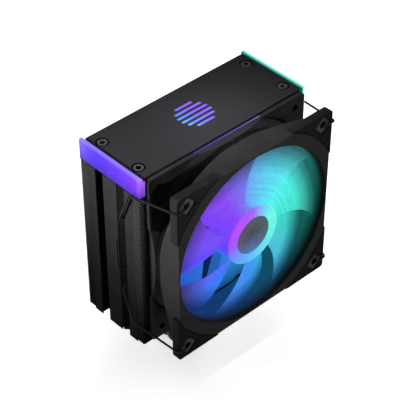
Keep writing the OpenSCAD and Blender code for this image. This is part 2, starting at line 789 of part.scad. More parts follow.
module bearing_cap() color("#2c2c30") in_fan() translate([0, 0, shaft_end + rotor_gap / 2])
    cylinder(r = sleeve_r, h = fan_depth - seal_t - shaft_end - rotor_gap / 2);

// Stator

module stator_core() color("#8b8f94") in_fan() translate([0, 0, core_front]) linear_extrude(core_h)
    difference() {
        union() {
            circle(core_hub);
            intersection() {
                circle(core_r);
                for (a = [0, 90]) rotate(a) square([3 * core_r, pole_w], center = true);
            }
            intersection() {
                difference() {
                    circle(core_r);
                    circle(core_r - shoe_t);
                }
                for (a = [0, 90]) rotate(a) square([3 * core_r, shoe_w], center = true);
            }
        }
        circle(tube_r + press_fit);
    }

module stator_windings() color("#b5673a") in_fan() {
    half = pole_w / 2 + winding_t;
    inner = core_hub + press_fit;
    outer = sqrt(pow(core_r - shoe_t, 2) - half * half) - press_fit;
    for (a = [0 : 90 : 270]) rotate(a) difference() {
        translate([inner, -half, core_front - winding_t])
            cube([outer - inner, 2 * half, core_h + 2 * winding_t]);
        translate([0, -pole_w / 2 - press_fit, core_front - press_fit])
            cube([core_r, pole_w + 2 * press_fit, core_h + 2 * press_fit]);
    }
}

module fan_board() color("#24402f") in_fan()
    ring(hub_r - hub_wall, tube_r + press_fit, board_front, board_front + fan_board_t);

module fan_leds() color("#f4f2e8") in_fan()
    for (a = [0 : 45 : 315]) rotate(a + strut_turn)
        translate([magnet_r - magnet_t - led_w, -led_w / 2, board_front - fan_led_h - press_fit])
            cube([led_w, led_w, fan_led_h]);

module motor_seal() color("#35363a") in_fan() translate([0, 0, fan_depth - seal_t])
    cylinder(r = seal_r, h = seal_t);

// Fan clips

clip_half = [
    [hole_at, fan_front + hook_depth, hole_at],
    [hole_at, wire_face, hole_at],
    [fan_half + wire_r + wire_gap, wire_face, hole_at - hook_drop],
    [wire_side, -groove_out - groove_w, run_z],
    [wire_side, groove_y, 2 * handle_half + 3 * wire_bend],
    [groove_x, groove_y, 2 * handle_half + wire_bend],
    [groove_x, groove_y, handle_half],
    [fin_end + handle_out, groove_y + wire_d, handle_half],
];
clip_points = concat(clip_half,
    [for (i = [len(clip_half) - 1 : -1 : 0]) [clip_half[i][0], clip_half[i][1], -clip_half[i][2]]]);

module fan_clip() translate([0, 0, fan_z])
    tube(rounded_path(clip_points, wire_bend, 4), wire_r, 8, [0, 0, 1]);

module left_fan_clip() color("#202124") mirror([1, 0, 0]) fan_clip();
module right_fan_clip() color("#202124") fan_clip();

contact_block();
heat_pipe(1);  // heat_pipe_1
heat_pipe(2);  // heat_pipe_2
heat_pipe(3);  // heat_pipe_3
heat_pipe(4);  // heat_pipe_4
fins();
cover_tray();
light_board();
cover_leds();
light_sheet();
cover_plate();
window_lenses();
cover_screws();
left_light_bar();
right_light_bar();
fan_frame();
front_pad(-1, -1);  // front_pad_top_left
front_pad(1, -1);  // front_pad_top_right
front_pad(-1, 1);  // front_pad_bottom_left
front_pad(1, 1);  // front_pad_bottom_right
rear_pad(-1, -1);  // rear_pad_top_left
rear_pad(1, -1);  // rear_pad_top_right
rear_pad(-1, 1);  // rear_pad_bottom_left
rear_pad(1, 1);  // rear_pad_bottom_right
impeller();
hub_cap();
rotor_yoke();
rotor_magnet();
rotor_shaft();
shaft_retainer();
bearing_sleeve();
bearing_cap();
stator_core();
stator_windings();
fan_board();
fan_leds();
motor_seal();
left_fan_clip();
right_fan_clip();
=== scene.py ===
import bmesh
import bpy
import math
from mathutils import Matrix, Vector


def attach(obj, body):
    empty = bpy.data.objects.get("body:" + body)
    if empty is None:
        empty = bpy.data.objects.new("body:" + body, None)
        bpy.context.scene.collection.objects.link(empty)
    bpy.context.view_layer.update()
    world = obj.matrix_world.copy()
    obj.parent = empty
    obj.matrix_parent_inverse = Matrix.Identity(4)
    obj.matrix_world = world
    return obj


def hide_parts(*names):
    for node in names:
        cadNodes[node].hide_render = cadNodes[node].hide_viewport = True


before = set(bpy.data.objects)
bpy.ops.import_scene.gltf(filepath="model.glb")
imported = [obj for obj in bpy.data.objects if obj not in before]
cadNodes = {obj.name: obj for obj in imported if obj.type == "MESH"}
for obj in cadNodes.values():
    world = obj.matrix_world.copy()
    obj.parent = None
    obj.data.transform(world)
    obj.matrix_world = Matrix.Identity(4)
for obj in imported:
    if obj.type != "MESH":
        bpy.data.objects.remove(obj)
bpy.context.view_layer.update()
scene = bpy.context.scene
mm = 0.001
fanCentre = Vector((0, -51.1, 97.1))  # centre of the fan's front face, in millimetres
print("frame loaded, nodes:", len(cadNodes))

# camera

cameraSet = {
    "azimuth": -43.247,  # degrees round the object, 0 looks straight at the fan
    "elevation": 40.342,
    "roll": 0.172,
    "lens": 129.046,
    "sensor": 36,
    "offset": (27.205, -16.295, 854.61),  # the fan's front centre seen from the camera
    "clip": (0.01, 20),
}


def makeCamera(s):
    a, e, r = (math.radians(s[k]) for k in ("azimuth", "elevation", "roll"))
    back = Vector((math.sin(a) * math.cos(e), -math.cos(a) * math.cos(e), math.sin(e)))
    right = Vector((math.cos(a), math.sin(a), 0))
    up = back.cross(right)
    across = right * math.cos(r) + up * math.sin(r)
    upward = up * math.cos(r) - right * math.sin(r)
    sideways, rise, distance = s["offset"]
    place = fanCentre - across * sideways - upward * rise + back * distance
    data = bpy.data.cameras.new("camera")
    data.lens = s["lens"]
    data.sensor_width = s["sensor"]
    data.clip_start, data.clip_end = s["clip"]
    camera = bpy.data.objects.new("camera", data)
    turn = Matrix((across, upward, back)).transposed().to_4x4()
    camera.matrix_world = Matrix.Translation(place * mm) @ turn
    scene.collection.objects.link(camera)
    scene.camera = camera


makeCamera(cameraSet)
print("camera placed")

# small helpers for meshes

meshSet = {
    "smoothTo": 32, "roundFrom": 35,  # degrees between two faces
    "sameFlat": 0.05,  # degrees between the parts of one flat face
    "flatFrom": 0.99999,  # share of a flat's normal along an axis
    "weld": 2e-6, "latheWeld": 1e-7, "barWeld": 1e-6,  # metres
}


def linkNew(name, mesh):
    obj = bpy.data.objects.new(name, mesh)
    scene.collection.objects.link(obj)
    return obj


def meshFrom(name, points, faces):
    mesh = bpy.data.meshes.new(name)
    mesh.from_pydata([Vector(p) * mm for p in points], [], faces)
    mesh.update()
    return mesh


def fromBmesh(name, bm):
    mesh = bpy.data.meshes.new(name)
    bm.to_mesh(mesh)
    bm.free()
    return mesh


def smooth(mesh, angle=meshSet["smoothTo"]):
    mesh.shade_smooth()
    mesh.set_sharp_from_angle(angle=math.radians(angle))


def bake(obj):
    bpy.context.view_layer.update()
    graph = bpy.context.evaluated_depsgraph_get()
    done = bpy.data.meshes.new_from_object(obj.evaluated_get(graph))
    obj.modifiers.clear()
    obj.data = done
    done.name = obj.name
    return obj


def faceOut(mesh, merge=0.0):
    bm = bmesh.new()
    bm.from_mesh(mesh)
    if merge:
        bmesh.ops.remove_doubles(bm, verts=bm.verts, dist=merge)
        bmesh.ops.dissolve_degenerate(bm, edges=bm.edges, dist=merge)
    bmesh.ops.recalc_face_normals(bm, faces=bm.faces)
    bm.to_mesh(mesh)
    bm.free()
    return mesh


def roundEdges(obj, width, segments=2):
    smooth(obj.data)
    bevel = obj.modifiers.new("roundEdges", "BEVEL")
    bevel.width = width * mm
    bevel.segments = segments
    bevel.limit_method = "ANGLE"
    bevel.angle_limit = math.radians(meshSet["roundFrom"])
    bevel.harden_normals = True
    return bake(obj)


def sharpFlats(mesh, angle):
    # every edge between a flat along an axis and a curved face stays crisp, however shallow it is
    smooth(mesh, angle)
    bm = bmesh.new()
    bm.from_mesh(mesh)
    for edge in bm.edges:
        flats = {max(abs(c) for c in face.normal) > meshSet["flatFrom"] for face in edge.link_faces}
        if len(flats) == 2:
            edge.smooth = False
    bm.to_mesh(mesh)
    bm.free()


def mergedCopy(node, name, width=0.0):
    # the node's own shape with its flat faces whole again and its sharp edges rounded
    bm = bmesh.new()
    bm.from_mesh(cadNodes[node].data)
    bmesh.ops.remove_doubles(bm, verts=bm.verts, dist=meshSet["weld"])
    bmesh.ops.dissolve_limit(bm, angle_limit=math.radians(meshSet["sameFlat"]),
                             verts=bm.verts, edges=bm.edges)
    obj = linkNew(name, fromBmesh(name, bm))
    if width:
        return roundEdges(obj, width)
    smooth(obj.data)
    return obj


def dress(obj, mat, body, slot, *replaced):
    obj.data.materials.clear()
    obj.data.materials.append(mat)
    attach(obj, body)
    if replaced:
        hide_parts(*replaced)


def fanPoint(x, y, depth):  # from the fan's own front view, y down, to the object's frame
    return (x, fanCentre.y + depth, fanCentre.z - y)


def turns(steps, shift=0):  # angles of equal steps round a circle
    return [2 * math.pi * (k + shift) / steps for k in range(steps)]


def bands(pairs, n):
    # four-sided faces between pairs of rings of n points each
    return [(a * n + i, a * n + (i + 1) % n, b * n + (i + 1) % n, b * n + i)
            for a, b in pairs for i in range(n)]


def ringMesh(name, rings, weld=0.0):
    # closed shape through rings of points of one count, capped at both ends
    n, last = len(rings[0]), len(rings) - 1
    points = [p for ring in rings for p in ring]
    faces = bands([(k, k + 1) for k in range(last)], n)
    faces += [tuple(range(n)), tuple(range(last * n, len(points)))]
    return faceOut(meshFrom(name, points, faces), weld)


def lathe(name, profile, steps, place):
    # a closed profile of (radius, height) turned round an axis; place maps (x, y, height) to the frame
    points = [place(r * math.cos(t), r * math.sin(t), h) for t in turns(steps) for r, h in profile]
    faces = bands([((k + 1) % steps, k) for k in range(steps)], len(profile))
    mesh = faceOut(meshFrom(name, points, faces), meshSet["latheWeld"])
    smooth(mesh)
    return mesh


# small helpers for node trees


def feed(tree, node, inputs):
    for key, value in inputs.items():
        if isinstance(value, bpy.types.NodeSocket):
            tree.links.new(value, node.inputs[key])
        else:
            node.inputs[key].default_value = value


def put(tree, kind, inputs=None, **settings):
    node = tree.nodes.new(kind)
    for key, value in settings.items():
        setattr(node, key, value)
    feed(tree, node, inputs or {})
    return node


def shapeTree(name, inputs):
    tree = bpy.data.node_groups.new(name, "GeometryNodeTree")
    tree.interface.new_socket("Shape", in_out="INPUT", socket_type="NodeSocketGeometry")
    for label, kind in inputs:
        tree.interface.new_socket(label, in_out="INPUT", socket_type="NodeSocket" + kind)
    tree.interface.new_socket("Finish", in_out="INPUT", socket_type="NodeSocketMaterial")
    tree.interface.new_socket("Shape", in_out="OUTPUT", socket_type="NodeSocketGeometry")
    return tree, tree.nodes.new("NodeGroupInput").outputs


def copiesAt(tree, points, given, **more):
    inputs = {"Points": points.outputs[0], "Instance": given["Shape"], **more}
    return put(tree, "GeometryNodeInstanceOnPoints", inputs).outputs[0]


def cornerPoints(tree, across, deep):
    return put(tree, "GeometryNodeMeshGrid",
               {"Size X": across, "Size Y": deep, "Vertices X": 2, "Vertices Y": 2})


def endTree(tree, shape, given):
    real = put(tree, "GeometryNodeRealizeInstances", {"Geometry": shape})
    paint = put(tree, "GeometryNodeSetMaterial",
                {"Geometry": real.outputs[0], "Material": given["Finish"]})
    put(tree, "NodeGroupOutput", {"Shape": paint.outputs[0]})
    return tree


def grow(name, mesh, tree, values):
    obj = linkNew(name, mesh)
    modifier = obj.modifiers.new("grow", "NODES")
    modifier.node_group = tree
    for item in tree.interface.items_tree:
        if item.in_out == "INPUT" and item.name in values:
            modifier[item.identifier] = values[item.name]
    return bake(obj)


# finishes


def srgb(r, g, b):  # linear colour of a display colour from 0 to 255
    shares = (v / 255 for v in (r, g, b))
    return tuple(v / 12.92 if v < 0.04 else ((v + 0.055) / 1.055) ** 2.4 for v in shares) + (1.0,)


def grey(v):
    return (v, v, v, 1.0)


def blankMaterial(name):
    mat = bpy.data.materials.new(name)
    mat.use_nodes = True
    mat.node_tree.nodes.clear()
    return mat, mat.node_tree


def newFinish(name):
    mat, tree = blankMaterial(name)
    shader = put(tree, "ShaderNodeBsdfPrincipled")
    put(tree, "ShaderNodeOutputMaterial", {"Surface": shader.outputs[0]})
    place = put(tree, "ShaderNodeTexCoord").outputs["Object"]
    return mat, tree, shader, place


def noise(tree, place, scale, detail=2.0, stretch=None):
    if stretch:
        place = put(tree, "ShaderNodeMapping", {"Vector": place, "Scale": stretch}).outputs[0]
    node = put(tree, "ShaderNodeTexNoise", {"Vector": place, "Scale": scale, "Detail": detail})
    return node.outputs["Fac"]


def spread(tree, value, low, high, start=0.3, end=0.7):
    node = put(tree, "ShaderNodeMapRange", {"Value": value, "From Min": start, "From Max": end,
                                            "To Min": low, "To Max": high})
    return node.outputs[0]


def ramp(tree, value, stops):
    node = put(tree, "ShaderNodeValToRGB", {"Fac": value})
    bar = node.color_ramp
    for i, (at, colour) in enumerate(stops):
        stop = bar.elements[i] if i < 2 else bar.elements.new(at)
        stop.position = at
        stop.color = colour
    return node.outputs[0]


def math2(tree, operation, a, b):
    return put(tree, "ShaderNodeMath", {0: a, 1: b}, operation=operation).outputs[0]


def tinted(tree, factor, a, b, blend="MIX"):
    node = put(tree, "ShaderNodeMix", {0: factor, 6: a, 7: b}, data_type="RGBA", blend_type=blend)
    return node.outputs[2]


def toned(tree, share, s):
    return tinted(tree, share, srgb(*s["dark"]), srgb(*s["light"]))


def bump(tree, height, depth, strength=0.6):
    node = put(tree, "ShaderNodeBump", {"Height": height, "Distance": depth * mm, "Strength": strength})
    return node.outputs[0]


def plainFinish(name, s):
    # two close tones in soft patches, with a fine grain in the gloss and the surface
    mat, tree, shader, place = newFinish(name)
    patches = noise(tree, place, s["patch"], 3, s.get("stretch"))
    grain = noise(tree, place, s["grain"], 2, s.get("stretch"))
    feed(tree, shader, {
        "Base Color": toned(tree, spread(tree, patches, 0, 1), s), "Metallic": s.get("metal", 0.0),
        "Roughness": spread(tree, grain, *s["rough"]), "Specular IOR Level": s.get("specular", 0.5),
        "Normal": bump(tree, grain, s["depth"])})
    return mat


plainSets = {
    "trayPlastic": {"dark": (9, 9, 10), "light": (14, 14, 15), "patch": 90, "grain": 2200,
                    "rough": (0.5, 0.65), "depth": 0.03, "specular": 0.03},
    "padRubber": {"dark": (18, 18, 19), "light": (25, 25, 26), "patch": 140, "grain": 3400,
                  "rough": (0.68, 0.85), "depth": 0.05, "specular": 0.03},
    "holePlate": {"dark": (44, 44, 46), "light": (57, 57, 59), "patch": 300, "grain": 3000,
                  "rough": (0.4, 0.55), "depth": 0.02, "specular": 0.1},
    "clipCoat": {"dark": (10, 10, 11), "light": (17, 17, 18), "patch": 400, "grain": 4000,
                 "rough": (0.35, 0.5), "depth": 0.01, "specular": 0.06},
    "blockMetal": {"dark": (172, 174, 177), "light": (200, 201, 203), "patch": 160, "grain": 900,
                   "rough": (0.3, 0.44), "depth": 0.02, "metal": 1.0, "stretch": (1, 0.04, 0.04)},
    "pipeBlack": {"dark": (18, 17, 18), "light": (26, 25, 26), "patch": 90, "grain": 1200,
                  "rough": (0.4, 0.55), "depth": 0.01, "specular": 0.12},
    "screwDark": {"dark": (44, 44, 46), "light": (60, 59, 61), "patch": 600, "grain": 3000,
                  "rough": (0.34, 0.48), "depth": 0.01, "metal": 0.2, "specular": 0.1},
    "motorSteel": {"dark": (140, 142, 146), "light": (165, 166, 170), "patch": 300, "grain": 1600,
                   "rough": (0.3, 0.45), "depth": 0.01, "metal": 1.0},
    "magnetFerrite": {"dark": (40, 37, 36), "light": (58, 55, 53), "patch": 500, "grain": 2600,
                      "rough": (0.55, 0.7), "depth": 0.03},
    "bearingBronze": {"dark": (142, 106, 62), "light": (176, 136, 84), "patch": 600, "grain": 4200,
                      "rough": (0.35, 0.5), "depth": 0.02, "metal": 1.0},
    "windingCopper": {"dark": (140, 66, 34), "light": (186, 98, 54), "patch": 800, "grain": 2200,
                      "rough": (0.25, 0.4), "depth": 0.08, "metal": 0.8, "stretch": (1, 0.1, 1)},
    "boardGreen": {"dark": (18, 50, 34), "light": (30, 74, 50), "patch": 350, "grain": 1800,
                   "rough": (0.35, 0.5), "depth": 0.02},
    "sealFoil": {"dark": (36, 36, 38), "light": (46, 46, 49), "patch": 160, "grain": 3000,
                 "rough": (0.35, 0.5), "depth": 0.01, "specular": 0.35},
}
finishes = {name: plainFinish(name, s) for name, s in plainSets.items()}


def along(tree, place, axis, start, end):
    value = put(tree, "ShaderNodeSeparateXYZ", {"Vector": place}).outputs[axis]
    share = put(tree, "ShaderNodeMapRange",
                {"Value": value, "From Min": start * mm, "From Max": end * mm})
    return share.outputs[0]


def levelReach(tree, offset):  # distance from the Z axis
    level = put(tree, "ShaderNodeVectorMath", {0: offset, 1: (1, 1, 0)}, operation="MULTIPLY").outputs[0]
    return put(tree, "ShaderNodeVectorMath", {0: level}, operation="LENGTH").outputs["Value"]


def roundFan(tree, place):
    # angle 0 to 1 round the fan's axis from the left side, and the distance from the axis
    flat = put(tree, "ShaderNodeMapping", {"Vector": place, "Rotation": (-math.pi / 2, 0, 0),
                                           "Location": (0, -fanCentre.z * mm, 0)}).outputs[0]
    angle = put(tree, "ShaderNodeTexGradient", {"Vector": flat}, gradient_type="RADIAL").outputs["Fac"]
    return angle, levelReach(tree, flat)


def turnAt(degrees):  # place on the ramp of an angle seen from the front, 0 to the right and 90 up
    return (degrees / 360 + 0.5) % 1


def fanColour(tree, angle):
    return ramp(tree, angle, (
        (0.0, srgb(104, 66, 252)), (1.0, srgb(104, 66, 252)), (turnAt(215), srgb(62, 112, 254)),
        (turnAt(270), srgb(54, 148, 252)), (turnAt(330), srgb(60, 212, 208)),
        (turnAt(0), srgb(58, 236, 212)), (turnAt(34), srgb(90, 254, 252)),
        (turnAt(66), srgb(94, 222, 250)), (turnAt(95), srgb(122, 130, 250)),
        (turnAt(120), srgb(140, 68, 254))))


def product(tree, *colours):
    result = colours[0]
    for colour in colours[1:]:
        result = tinted(tree, 1.0, result, colour, "MULTIPLY")
    return result


def spillLight(tree, place, s):
    # painted light: the fan's glow painted behind and round it, full on the axis, weaker on the duct's wall
    angle, reach = roundFan(tree, place)
    depth = ramp(tree, along(tree, place, "Y", s["spillStrong"], s["spillGone"]), (
        (0.0, grey(1)), (1.0, grey(0))))
    mouth = ramp(tree, along(tree, place, "Y", *(fanCentre.y + d for d in s["spillMouth"])), (
        (0.0, grey(0)), (1.0, grey(1))))
    fade = ramp(tree, math2(tree, "DIVIDE", reach, s["spillReach"] * mm), (
        (0.4, grey(1)), (1.0, grey(0)), (0.75, grey(0.8)), (0.9, grey(0.5)),
        (0.985, grey(s["spillWall"]))))
    return product(tree, fanColour(tree, angle), fade, depth, mouth)


frameCoatSet = {"dark": (24, 24, 25), "light": (31, 30, 31), "patch": 70, "grain": 2600,
                "rough": (0.42, 0.58), "depth": 0.03, "specular": 0.03,
                "spill": 0.5, "spillStrong": -26.6, "spillGone": -26.0, "spillMouth": (2, 10),
                "spillReach": 58.4, "spillWall": 0.3, "valleyShade": (-35.6, -30.6), "valleyShadeTone": 0.12}


def frameFinish(s):
    # moulded black plastic, with painted shade in the valley between the bells; the wall and the struts
    # inside the fan carry a painted glow of its light
    mat, tree, shader, place = newFinish("framePlastic")
    patches = noise(tree, place, s["patch"], 3)
    grain = noise(tree, place, s["grain"], 2)
    tone = toned(tree, spread(tree, patches, 0, 1), s)
    # painted shade: the tone drops in the valley between the bells, where the frame lies in shade
    valleyShade = ramp(tree, along(tree, place, "Y", *s["valleyShade"]), (
        (0.0, grey(1)), (1.0, grey(1)), (0.2, grey(s["valleyShadeTone"])), (0.8, grey(s["valleyShadeTone"]))))
    feed(tree, shader, {
        "Base Color": product(tree, tone, valleyShade), "Roughness": spread(tree, grain, *s["rough"]),
        "Specular IOR Level": s["specular"], "Normal": bump(tree, grain, s["depth"]),
        "Emission Color": spillLight(tree, place, s), "Emission Strength": s["spill"]})
    return mat


finishes["framePlastic"] = frameFinish(frameCoatSet)

coverSet = {"dark": (29, 28, 30), "light": (33, 32, 34), "grain": 4200, "streak": 500,
            "stretch": (0.02, 1, 1), "sparkle": 0.88, "rough": (0.4, 0.5), "depth": 0.012,
            "strength": 0.4, "specular": 0.03, "screws": (55.4, 15.2), "recess": 4.0, "recessTone": 0.15}


def coverFinish(s):
    # dark anodised sheet: a very fine even sparkle, faint long streaks from the rolling, and painted
    # shade where it is sunk round the screws
    mat, tree, shader, place = newFinish("coverAnodised")
    grain = noise(tree, place, s["grain"], 1)
    streaks = noise(tree, place, s["streak"], 3, s["stretch"])
    tone = toned(tree, spread(tree, streaks, 0, 1), s)
    sparkle = ramp(tree, grain, ((0.35, grey(s["sparkle"])), (0.65, grey(1))))
    corner = put(tree, "ShaderNodeVectorMath", {0: place}, operation="ABSOLUTE").outputs[0]
    offset = put(tree, "ShaderNodeVectorMath", {0: corner, 1: tuple(v * mm for v in s["screws"]) + (0,)},
                 operation="SUBTRACT").outputs[0]
    # painted shade: a dark ring round each screw, where its counterbore lies in shade
    recess = ramp(tree, math2(tree, "DIVIDE", levelReach(tree, offset), s["recess"] * mm), (
        (0.96, grey(s["recessTone"])), (1.0, grey(1))))
    feed(tree, shader, {
        "Base Color": product(tree, tone, sparkle, recess),
        "Roughness": spread(tree, grain, *s["rough"]), "Specular IOR Level": s["specular"],
        "Normal": bump(tree, grain, s["depth"], s["strength"])})
    return mat


finishes["cover"] = coverFinish(coverSet)

# edge is the colour of the painted highlight on the fins' end edges
finCoatSet = {"dark": (20, 19, 20), "light": (28, 26, 27), "edge": (62, 60, 62),
              "lowest": 32.65, "pitch": 2.0,  # one tone for each pitch, from the foot of the first fin's tabs
              "grain": 1500, "stretch": (0.15, 1, 1), "eachShare": 0.6, "grainShare": 0.4,
              "rough": (0.42, 0.56), "depth": 0.012, "strength": 0.5, "specular": 0.008,
              "spill": 0.9, "spillStrong": -25.4, "spillGone": -20.5, "spillMouth": (2, 10),
              "spillReach": 57.8, "spillWall": 0.3}


def finFinish(s):
    # thin black coat with a painted highlight on the fins' end edges; each fin has its own slight tone,
    # and the front edges carry a painted glow of the fan's light
    mat, tree, shader, place = newFinish("finCoat")
    height = put(tree, "ShaderNodeSeparateXYZ", {"Vector": place}).outputs["Z"]
    rise = math2(tree, "SUBTRACT", height, s["lowest"] * mm)
    step = math2(tree, "FLOOR", math2(tree, "DIVIDE", rise, s["pitch"] * mm), 0)
    each = put(tree, "ShaderNodeTexWhiteNoise", {"W": step}, noise_dimensions="1D").outputs["Value"]
    grain = noise(tree, place, s["grain"], 2, s["stretch"])
    mixed = math2(tree, "ADD", math2(tree, "MULTIPLY", each, s["eachShare"]),
                  math2(tree, "MULTIPLY", grain, s["grainShare"]))
    # painted highlight: the faces on the fins' two ends take the paler edge tone, as if catching light
    edgeHighlight = put(tree, "ShaderNodeAttribute", attribute_name="edgeHighlight").outputs["Fac"]
    feed(tree, shader, {
        "Base Color": tinted(tree, edgeHighlight, toned(tree, mixed, s), srgb(*s["edge"])),
        "Roughness": spread(tree, grain, *s["rough"]), "Specular IOR Level": s["specular"],
        "Normal": bump(tree, grain, s["depth"], s["strength"]),
        "Emission Color": spillLight(tree, place, s), "Emission Strength": s["spill"]})
    return mat


finishes["fin"] = finFinish(finCoatSet)

milkSet = {"cloud": 220, "cloudTone": 0.9, "grain": 2400, "roughBy": 0.06, "depth": 0.02,
           "strength": 0.3, "specular": 0.06}


def glowFinish(s, milk):
    # milky plastic lit from inside; "colours" builds the colour of the light from the place
    mat, tree, shader, place = newFinish(s["name"])
    cloud = noise(tree, place, milk["cloud"], 2)
    clouds = ramp(tree, cloud, ((0.3, grey(milk["cloudTone"])), (0.7, grey(1))))
    grain = noise(tree, place, milk["grain"])
    feed(tree, shader, {
        "Base Color": toned(tree, spread(tree, cloud, 0, 1), s),
        "Roughness": spread(tree, grain, s["rough"] - milk["roughBy"], s["rough"] + milk["roughBy"]),
        "Specular IOR Level": milk["specular"],
        "Normal": bump(tree, cloud, milk["depth"], milk["strength"]),
        "Emission Color": product(tree, s["colours"](tree, place), clouds),
        "Emission Strength": s["glow"]})
    return mat


# where each light's colours run, in millimetres; the last row has a share and two noise scales
lightSet = {"barLength": (25.3, -25.3), "barRise": (146, 158.4), "barRim": (157.2, 158.4),
            "barOut": (61.25, 64.25), "sheet": (-60, 60), "window": (-12, 12),
            "bladeEnd": 60, "hubFace": (-48.9, -48.1), "capEnd": 12.5,
            "windowSlant": 0.35, "bladeRings": 520, "ledGrain": 300}


def leftBarLight(tree, place):
    length = ramp(tree, along(tree, place, "Y", *lightSet["barLength"]), (
        (0.0, srgb(140, 128, 254)), (1.0, srgb(176, 122, 255)), (0.12, srgb(108, 84, 248)),
        (0.3, srgb(80, 40, 246)), (0.62, srgb(102, 36, 246)), (0.86, srgb(128, 44, 252)),
        (0.96, srgb(138, 60, 255))))
    rise = ramp(tree, along(tree, place, "Z", *lightSet["barRise"]), (
        (0.0, (0.32, 0.2, 0.44, 1)), (1.0, (1.0, 1.0, 1.0, 1)), (0.35, (0.64, 0.46, 0.78, 1)),
        (0.8, (0.92, 0.86, 1.0, 1))))
    # paler top rim: partly the guide's glow at its edge, partly a painted highlight along the top
    rim = ramp(tree, along(tree, place, "Z", *lightSet["barRim"]), ((0.0, grey(0)), (1.0, grey(0.45))))
    return tinted(tree, rim, product(tree, length, rise), srgb(188, 172, 255))


def rightBarLight(tree, place):
    length = ramp(tree, along(tree, place, "Y", *lightSet["barLength"]), (
        (0.0, srgb(216, 250, 255)), (1.0, srgb(240, 255, 250)), (0.5, srgb(240, 255, 252))))
    # the glow runs from dark teal on the inner side to near white outside; the dark inner side is painted
    # shade
    outward = ramp(tree, along(tree, place, "X", *lightSet["barOut"]), (
        (0.0, srgb(16, 72, 68)), (1.0, srgb(70, 236, 216)), (0.15, srgb(84, 178, 166)),
        (0.35, srgb(140, 232, 216)), (0.55, srgb(200, 255, 246)), (0.9, srgb(230, 255, 252))))
    return product(tree, length, outward)


def sheetLight(tree, place):
    return ramp(tree, along(tree, place, "X", *lightSet["sheet"]), (
        (0.0, srgb(16, 12, 30)), (1.0, srgb(10, 16, 22)), (0.2, srgb(28, 20, 60)),
        (0.3, srgb(72, 36, 162)), (0.5, srgb(84, 58, 166)), (0.64, srgb(80, 80, 166)),
        (0.72, srgb(92, 104, 164)), (0.8, srgb(26, 36, 52))))


def windowLight(tree, place):
    across = along(tree, place, "X", *lightSet["window"])
    deep = along(tree, place, "Y", *lightSet["window"])
    slant = math2(tree, "ADD", across, math2(tree, "MULTIPLY", deep, lightSet["windowSlant"]))
    return ramp(tree, slant, (
        (0.15, srgb(72, 190, 255)), (1.0, srgb(140, 70, 248)), (0.5, srgb(96, 120, 252)),
        (0.8, srgb(132, 80, 250))))


def bladeLight(tree, place):
    angle, reach = roundFan(tree, place)
    fade = ramp(tree, math2(tree, "DIVIDE", reach, lightSet["bladeEnd"] * mm), (
        (0.3, grey(1)), (1.0, grey(0)), (0.62, grey(0.96)), (0.74, grey(0.6)), (0.84, grey(0.3)),
        (0.92, grey(0.14)), (0.98, grey(0.08))))
    rings = put(tree, "ShaderNodeTexNoise", {"W": reach, "Scale": lightSet["bladeRings"], "Detail": 2.0},
                noise_dimensions="1D").outputs["Fac"]
    streak = ramp(tree, rings, ((0.3, grey(0.86)), (0.7, grey(1))))
    return product(tree, fanColour(tree, angle), fade, streak)


def hubLight(tree, place):
    # the face ring has its own colours, and the wall behind it those of the blades
    angle = roundFan(tree, place)[0]
    ring = ramp(tree, angle, (
        (0.0, srgb(152, 82, 250)), (1.0, srgb(152, 82, 250)), (turnAt(212), srgb(98, 148, 254)),
        (turnAt(255), srgb(86, 180, 250)), (turnAt(300), srgb(96, 226, 248)),
        (turnAt(350), srgb(98, 250, 226)), (turnAt(35), srgb(100, 250, 230)),
        (turnAt(62), srgb(108, 205, 248)), (turnAt(92), srgb(168, 90, 250)),
        (turnAt(140), srgb(190, 62, 252))))
    behind = along(tree, place, "Y", *lightSet["hubFace"])
    return tinted(tree, behind, ring, fanColour(tree, angle))


# painted light: the cap is no lamp; its glow, weakest at the centre, is painted light from the lit hub round
# it
def capLight(tree, place):
    angle, reach = roundFan(tree, place)
    colour = ramp(tree, angle, (
        (0.0, srgb(60, 60, 92)), (1.0, srgb(60, 60, 92)), (turnAt(262), srgb(72, 122, 196)),
        (turnAt(0), srgb(48, 94, 88)), (turnAt(120), srgb(62, 54, 84))))
    fade = ramp(tree, math2(tree, "DIVIDE", reach, lightSet["capEnd"] * mm), (
        (0.1, grey(0.25)), (1.0, grey(1))))
    return product(tree, colour, fade)


def ledLight(tree, place):
    grain = noise(tree, place, lightSet["ledGrain"])
    return tinted(tree, grain, srgb(180, 170, 250), srgb(144, 136, 225))


glowSets = {
    "leftBar": {"name": "leftBarMilk", "dark": (16, 9, 44), "light": (22, 13, 58), "rough": 0.4,
                "glow": 0.97, "colours": leftBarLight},
    "rightBar": {"name": "rightBarMilk", "dark": (22, 44, 42), "light": (32, 58, 54), "rough": 0.4,
                 "glow": 1.15, "colours": rightBarLight},
    "sheet": {"name": "sheetClear", "dark": (26, 22, 40), "light": (36, 30, 54), "rough": 0.25,
              "glow": 1.5, "colours": sheetLight},
    "window": {"name": "windowMilk", "dark": (40, 44, 80), "light": (52, 56, 96), "rough": 0.4,
               "glow": 0.95, "colours": windowLight},
    "blade": {"name": "bladeMilk", "dark": (18, 20, 28), "light": (26, 28, 38), "rough": 0.35,
              "glow": 1.05, "colours": bladeLight},
    "hub": {"name": "hubMilk", "dark": (24, 26, 36), "light": (32, 34, 46), "rough": 0.35,
            "glow": 1.0, "colours": hubLight},
    # the cap is no lamp: its glow is painted light
    "cap": {"name": "capSatin", "dark": (60, 62, 67), "light": (72, 74, 79), "rough": 0.45,
            "glow": 0.8, "colours": capLight},
    "led": {"name": "ledLit", "dark": (210, 206, 190), "light": (236, 232, 220), "rough": 0.3,
            "glow": 0.8, "colours": ledLight},
}
for look, s in glowSets.items():
    finishes[look] = glowFinish(s, milkSet)
print("finishes made:", len(finishes))

# fin stack

